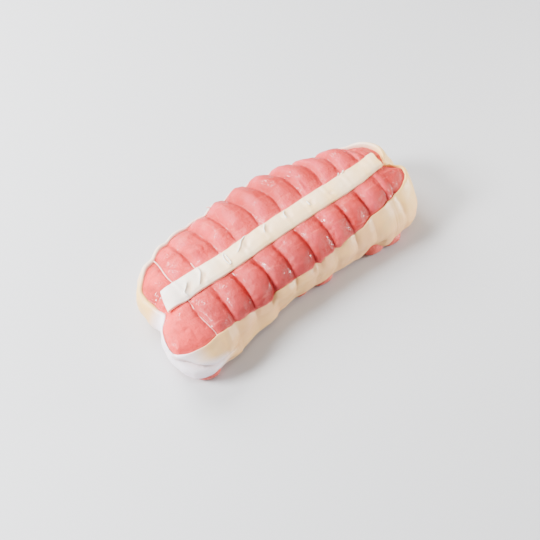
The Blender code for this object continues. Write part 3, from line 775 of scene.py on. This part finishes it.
def makeTwine(meat, belt, strip):
    trees = {"meat": treeOf(meat), "belt": treeOf(belt), "strip": treeOf(strip)}
    ridge = tying["ridge"]
    lines = [(loopLine(k, trees), True) for k in range(len(loopX))]
    run = [onStrip(x, ridge, trees, twineShape["proudRun"]) for x in np.linspace(loopX[0], loopX[-1], 400)]
    lines.append((evened(run, 6, False), False))
    for bits in twineShape["hitches"]:
        flat = evened(stepped(metres(bits), twineShape["hitchStep"], False)[0], 6, False)
        share = np.linspace(0, 1, len(flat))
        arched = np.clip(np.sin(math.pi * share) * 2.2, 0, 1)
        sunk = twineShape["hitchEnds"] + twineShape["hitchRise"] * arched
        lines.append((evened([onStrip(x, y, trees, s) for (x, y), s in zip(flat, sunk)], 2, False), False))
    share = np.linspace(0, 1, 9)[:, None]
    arch = np.array((0, 0, twineShape["tagArch"])) * np.sin(math.pi * share)
    for x, y, *reach in metres(twineShape["tags"]):
        lines.append((np.array(onStrip(x, y, trees, -.5)) + share * np.array(reach) + arch, False))
    profile = bpy.data.curves.new("twineProfile", "CURVE")
    ringLine = profile.splines.new("POLY")
    ringLine.points.add(twineShape["sides"] - 1)
    for i, point in enumerate(ringLine.points):
        angle = 2 * math.pi * i / twineShape["sides"]
        r = twineShape["radius"] * (1 + twineShape["strandRise"] * math.cos(twineShape["strands"] * angle))
        point.co = (r * math.cos(angle), r * math.sin(angle), 0, 1)
    ringLine.use_cyclic_u = True
    profileObject = newObject("twineProfile", profile)
    curve = bpy.data.curves.new("kitchenTwine", "CURVE")
    curve.dimensions = "3D"
    curve.bevel_mode = "OBJECT"
    curve.bevel_object = profileObject
    curve.use_fill_caps = True
    for points, closed in lines:
        line, length = stepped(points, twineShape["step"], closed)
        turns = round(length / twineShape["lay"] * twineShape["strands"]) / twineShape["strands"]
        spline = curve.splines.new("POLY")
        spline.points.add(len(line) - 1)
        spline.points.foreach_set("co", np.hstack([line, np.ones((len(line), 1))]).ravel())
        spline.points.foreach_set("tilt", 2 * math.pi * turns * np.arange(len(line)) / len(line))
        spline.use_cyclic_u = closed
    piece = newObject("kitchenTwine", curve)
    pickOnly(piece)
    bpy.ops.object.convert(target="MESH")
    bpy.data.objects.remove(profileObject)
    openMesh(piece)
    bpy.ops.mesh.remove_doubles(threshold=.00001)
    bpy.ops.mesh.normals_make_consistent(inside=False)
    closeMesh()
    bpy.ops.object.shade_smooth()
    soak = []
    for p in readPoints(piece):
        reach = {kind: tree.find_nearest(Vector(p))[3] for kind, tree in trees.items()}
        soak.append(1 if reach["meat"] < min(reach["belt"], reach["strip"]) else 0)
    paint(piece, "soak", spread(piece, np.array(soak), 8))
    return piece


# Materials

def place(tree, kind, inputs=None, **settings):
    node = tree.nodes.new("ShaderNode" + kind)
    for key, value in settings.items():
        setattr(node, key, value)
    for key, value in (inputs or {}).items():
        if isinstance(value, bpy.types.NodeSocket):
            tree.links.new(value, node.inputs[key])
        else:
            node.inputs[key].default_value = value
    return node


def noiseAt(tree, vector, scale, detail, **more):
    inputs = {"Vector": vector, "Scale": scale, "Detail": detail}
    inputs.update({key.capitalize(): value for key, value in more.items()})
    return place(tree, "TexNoise", inputs).outputs["Fac"]


def ranged(tree, value, low, high, toLow=0, toHigh=1):
    limits = {"From Min": low, "From Max": high, "To Min": toLow, "To Max": toHigh}
    return place(tree, "MapRange", {"Value": value, **limits}).outputs[0]


def times(tree, a, b):
    return place(tree, "Math", {0: a, 1: b}, operation="MULTIPLY").outputs[0]


def plus(tree, a, b):
    return place(tree, "Math", {0: a, 1: b}, operation="ADD").outputs[0]


def newGroup(name, inputs, outputs):
    group = bpy.data.node_groups.new(name, "ShaderNodeTree")
    group.interface.new_socket("Vector", in_out="INPUT", socket_type="NodeSocketVector")
    for labels, way in ((inputs, "INPUT"), (outputs, "OUTPUT")):
        for label in labels:
            group.interface.new_socket(label, in_out=way, socket_type="NodeSocketFloat")
    return group, group.nodes.new("NodeGroupInput").outputs, group.nodes.new("NodeGroupOutput").inputs


def makeMottle():
    group, given, result = newGroup("softMottle", ("Patch", "Fleck"), ("Broad", "Fine", "Threads", "Tone"))
    vector, fleck = given["Vector"], given["Fleck"]
    drawn = place(group, "Mapping", {"Vector": vector, "Scale": (.16, 1, 1)}).outputs[0]
    broad = noiseAt(group, vector, given["Patch"], 3, distortion=.4)
    fine = noiseAt(group, vector, fleck, 4, roughness=.6)
    group.links.new(broad, result["Broad"])
    group.links.new(fine, result["Fine"])
    group.links.new(noiseAt(group, drawn, fleck, 3, distortion=1.2), result["Threads"])
    group.links.new(plus(group, times(group, broad, .65), times(group, fine, .35)), result["Tone"])
    return group


def makeMoistSkin():
    group, given, result = newGroup("moistSkin", ("Grain", "Dull", "Wet"), ("Height", "Roughness"))
    vector, grain = given["Vector"], given["Grain"]
    pulled = {"Vector": vector, "Scale": (1, .45, 1), "Rotation": (0, 0, .5)}
    pulled = place(group, "Mapping", pulled).outputs[0]
    wrinkle = noiseAt(group, pulled, times(group, grain, .45), 4, roughness=.6, distortion=1.5)
    height = plus(group, times(group, noiseAt(group, vector, grain, 3), .3),
                  noiseAt(group, vector, times(group, grain, .28), 2))
    group.links.new(plus(group, times(group, wrinkle, .6), height), result["Height"])
    wetness = noiseAt(group, vector, 85, 2)
    group.links.new(ranged(group, wetness, .35, .65, given["Wet"], given["Dull"]), result["Roughness"])
    return group


def newMaterial(name):
    material = bpy.data.materials.new(name)
    material.use_nodes = True
    tree = material.node_tree
    return material, tree, tree.nodes["Principled BSDF"], place(tree, "TexCoord").outputs["Object"]


def layeredMaterial(name, look, mottle):
    # colours laid over each other: each has its masks, and a mask is what is painted on the piece,
    # a kind of mottling or a place along an axis, read between two values and put between two more
    material, tree, shader, vector = newMaterial(name)
    spots = place(tree, "Group", {"Vector": vector, **look["mottle"]}, node_tree=mottle).outputs
    given = {output.name: output for output in [*spots, *place(tree, "SeparateXYZ", {0: vector}).outputs]}
    colour = look["base"]
    for over, *masks in look["layers"]:
        share = None
        for source, *limits in masks:
            mask = given.get(source) or place(tree, "Attribute", attribute_name=source).outputs["Fac"]
            mask = ranged(tree, mask, *limits) if limits else mask
            share = mask if share is None else times(tree, share, mask)
        colour = place(tree, "Mix", {0: share, 6: colour, 7: over}, data_type="RGBA").outputs[2]
    tree.links.new(colour, shader.inputs["Base Color"])
    for socket, value in look["sockets"].items():
        shader.inputs[socket].default_value = value
    return material, tree, shader, vector, given


def moisten(tree, shader, vector, look, skin):
    wet = place(tree, "Group", {"Vector": vector, **look["skin"]}, node_tree=skin).outputs
    bump = place(tree, "Bump", {"Height": wet["Height"], **look["bump"]})
    tree.links.new(bump.outputs[0], shader.inputs["Normal"])
    tree.links.new(wet["Roughness"], shader.inputs["Roughness"])


meatLook = {
    "base": (.84, .062, .061, 1),
    "layers": [
        ((.54, .047, .043, 1), ("X", -.075, 0)),
        ((.47, .028, .023, 1), ("Tone", .4, .62)),
        # painted highlight on the lit side of each cushion
        ((.7, .066, .086, 1), ("crestHighlight",), ("Broad", .62, .38, .1, .8)),
        # painted shade: the cushions on the near side, turned away from the light, are darker and redder
        ((.38, .036, .037, 1), ("Y", -.01, -.034, 0, .75), ("X", .032, -.012),
         ("X", -.11, -.088)),
        ((.78, .12, .1, 1), ("Threads", .58, .7, 0, .45)),
        # painted shade on the side of each cushion away from the light
        ((.27, .007, .006, 1), ("shadedFlank",), ("Broad", .3, .6, .75, 1.35)),
        # painted shade in the grooves
        ((.38, .012, .012, 1), ("groove",), ("Broad", .25, .65, .25, .5)),
        # painted shade in the folds
        ((.38, .012, .012, 1), ("fold", 0, 1, 0, .4)),
        # painted light along the seam under the belt and the strip
        ((.8, .13, .11, 1), ("margin", 0, 1, 0, .55)),
        ((.72, .14, .11, 1), ("Z", .014, .009, 0, .7)),
    ],
    "mottle": {"Patch": 34, "Fleck": 190},
    "skin": {"Grain": 1000, "Dull": .56, "Wet": .4},
    "bump": {"Strength": .75, "Distance": .001},
    "drops": {"fine": 620, "patch": 70, "coat": (.04, .9)},
    "sockets": {"Specular IOR Level": .18, "Subsurface Weight": .16, "Subsurface Radius": (1, .35, .25),
                "Subsurface Scale": .004, "Coat Roughness": .08},
}


def makeMeatMaterial(mottle, skin):
    material, tree, shader, vector, _ = layeredMaterial("vealFlesh", meatLook, mottle)
    moisten(tree, shader, vector, meatLook, skin)
    # small wet drops, in patches
    wet = meatLook["drops"]
    drops = ranged(tree, noiseAt(tree, vector, wet["fine"], 1), .54, .62)
    drops = times(tree, drops, ranged(tree, noiseAt(tree, vector, wet["patch"], 1), .45, .6))
    tree.links.new(ranged(tree, drops, 0, 1, *wet["coat"]), shader.inputs["Coat Weight"])
    return material


suet = {  # the same on the belt and the strip
    "bump": {"Strength": .22, "Distance": .0006},
    "sockets": {"Subsurface Weight": .15, "Subsurface Radius": (1, .65, .45), "Subsurface Scale": .003,
                "Coat Weight": .12, "Coat Roughness": .25},
}

beltLook = {
    "base": (.85, .485, .185, 1),
    "layers": [
        ((.86, .44, .23, 1), ("Broad", .48, .7, 0, .6)),
        ((.79, .54, .22, 1), ("Broad", .46, .3, 0, .7)),
        ((.93, .57, .16, 1), ("cream", 0, 1, 0, .85)),
        # cool white: partly painted light from the left
        ((.96, .84, .9, 1), ("cool",)),
        # painted shade: greyer and darker low on the cool tip, towards the floor
        ((.62, .47, .58, 1), ("cool",), ("Z", .016, .002, 0, .5)),
        ((.93, .57, .16, 1), ("Threads", .55, .72, 0, .3), ("cool", 0, .5, 1, 0)),
        # painted highlight: a paler, warm line along the rim
        ((.97, .76, .55, 1), ("rim", .35, .95), ("cool", 0, .6, .6, 0),
         ("cream", 0, 1, 1, .2)),
        # blood along its foot
        ((.8, .26, .17, 1), ("foot", .6, 1), ("Fine", .4, .6, .1, 1), ("Z", .02, .012)),
        # painted shade in the folds and painted shadow under the roll
        ((.7, .33, .16, 1), ("fold", 0, 1, 0, .45)),
    ],
    "mottle": {"Patch": 26, "Fleck": 160},
    "skin": {"Grain": 800, "Dull": .52, "Wet": .34},
    **suet,
}

stripLook = {
    "base": (.96, .86, .8, 1),
    "layers": [
        ((.96, .71, .46, 1), ("X", -.098, -.05)),
        ((.97, .58, .18, 1), ("Broad", .4, .66, .1, .9), ("X", -.08, .06, .25, 1)),
        # painted shadow beside the hitches
        ((.9, .58, .34, 1), ("pleatShadow", 0, 1, 0, .8)),
        ((.95, .56, .42, 1), ("edge", .85, 1, 0, .7)),
    ],
    "mottle": {"Patch": 40, "Fleck": 200},
    "skin": {"Grain": 800, "Dull": .5, "Wet": .32},
    **suet,
}


def makeFatMaterial(name, look, mottle, skin):
    material, tree, shader, vector, _ = layeredMaterial(name, look, mottle)
    moisten(tree, shader, vector, look, skin)
    return material


twineLook = {
    "base": (.96, .93, .88, 1),
    "layers": [
        ((.95, .86, .76, 1), ("Broad", .35, .65)),
        ((.92, .42, .36, 1), ("soak",), ("Broad", .3, .7, .6, 1)),
    ],
    "mottle": {"Patch": 60, "Fleck": 900},
    "fluff": 4200, "roughness": (.62, .82),
    "bump": {"Strength": .35, "Distance": .0002},
    "sockets": {"Sheen Weight": .25},
}


def makeTwineMaterial(mottle):
    material, tree, shader, vector, given = layeredMaterial("cottonTwine", twineLook, mottle)
    fluff = noiseAt(tree, vector, twineLook["fluff"], 3)
    bump = place(tree, "Bump", {"Height": fluff, **twineLook["bump"]})
    tree.links.new(bump.outputs[0], shader.inputs["Normal"])
    rough = ranged(tree, given["Fine"], .3, .7, *twineLook["roughness"])
    tree.links.new(rough, shader.inputs["Roughness"])
    return material


# The pieces

mottle, skin = makeMottle(), makeMoistSkin()
belt, rimLine = makeBelt()
print("belt", len(belt.data.polygons))
strip = makeStrip()
print("strip", len(strip.data.polygons))
meat = makeMeat(belt, strip, rimLine)
print("meat", len(meat.data.polygons))
twine = makeTwine(meat, belt, strip)
print("twine", len(twine.data.polygons))
for piece in (meat, belt, strip, twine):
    writePoints(piece, settle(readPoints(piece)))
foldMeat(meat)
foldBelt(belt)
for piece in (meat, belt, strip, twine):
    co = readPoints(piece)
    co[:, 2] = np.maximum(co[:, 2], 0)
    writePoints(piece, co)
print("settled and folded")

dressing = {
    "meat": (meat, makeMeatMaterial(mottle, skin), "meat"),
    "fat_belt": (belt, makeFatMaterial("beltSuet", beltLook, mottle, skin), "belt_fat"),
    "fat_strip": (strip, makeFatMaterial("stripSuet", stripLook, mottle, skin), "strip_fat"),
    "twine": (twine, makeTwineMaterial(mottle), "twine"),
}
for node, (piece, material, slot) in dressing.items():
    for wearer in (piece, cad[node]):
        wearer.data.materials.clear()
        wearer.data.materials.append(material)
    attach(piece, "root")
    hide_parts(node)
print("materials")

# Stage, lights and camera
stageSet = {"size": 6, "floor": (.56, .56, .57, 1), "roughness": (.62, .7), "world": (.93, .96, 1, 1),
            "worldStrength": .29}
bpy.ops.mesh.primitive_plane_add(size=stageSet["size"], location=(0, 0, 0))
floor = bpy.context.object
floor.name = "studioFloor"
floorMaterial, floorTree, floorShader, floorVector = newMaterial("paleFloor")
grain = noiseAt(floorTree, floorVector, 3, 2)
rough = ranged(floorTree, grain, .3, .7, *stageSet["roughness"])
floorTree.links.new(rough, floorShader.inputs["Roughness"])
floorShader.inputs["Base Color"].default_value = stageSet["floor"]
floor.data.materials.append(floorMaterial)

world = bpy.data.worlds.new("studio")
world.use_nodes = True
sky = world.node_tree.nodes["Background"].inputs
sky["Color"].default_value = stageSet["world"]
sky["Strength"].default_value = stageSet["worldStrength"]
bpy.context.scene.world = world

lampSet = {  # place, width, watts, colour; each looks at the middle of the roast
    "key": ((-.98, .34, .8), .4, 60, (.96, .98, 1)),
    "fill": ((.3, -.9, .6), .9, 1.2, (1, .95, .88)),
    "crown": ((-.1, 1, .86), .8, 42, (1, 1, 1)),
    "side": ((.6, -.32, .14), .25, 7.5, (1, .96, .9)),
    "glint": ((-.35, -.3, 1.2), .06, 1.8, (1, 1, 1)),
    "glintRight": ((.6, -.6, .72), .05, 1.3, (1, 1, 1)),
    "glintBack": ((.42, .72, .72), .05, 1, (1, 1, 1)),
}
for name, (where, width, watts, tint) in lampSet.items():
    lamp = bpy.data.lights.new(name, "AREA")
    lamp.size = width
    lamp.energy = watts
    lamp.color = tint
    holder = newObject(name, lamp)
    holder.location = where
    holder.rotation_euler = (Vector(where) - Vector((0, 0, .03))).to_track_quat("Z", "Y").to_euler()

cameraSet = {"target": (-.0199, -.0194, .025), "azimuth": -37.34, "elevation": 50, "distance": .9289,
             "roll": -1.29, "lens": 80, "sensor": 36}
turn, tilt = math.radians(cameraSet["azimuth"]), math.radians(cameraSet["elevation"])
back = Vector((math.sin(turn) * math.cos(tilt), -math.cos(turn) * math.cos(tilt), math.sin(tilt)))
cameraData = bpy.data.cameras.new("camera")
cameraData.lens = cameraSet["lens"]
cameraData.sensor_width = cameraSet["sensor"]
cameraData.clip_start = .01
camera = newObject("camera", cameraData)
camera.location = Vector(cameraSet["target"]) + back * cameraSet["distance"]
camera.rotation_mode = "QUATERNION"
roll = Quaternion((0, 0, 1), math.radians(cameraSet["roll"]))
camera.rotation_quaternion = back.to_track_quat("Z", "Y") @ roll
bpy.context.scene.camera = camera
print("stage, lights and camera")
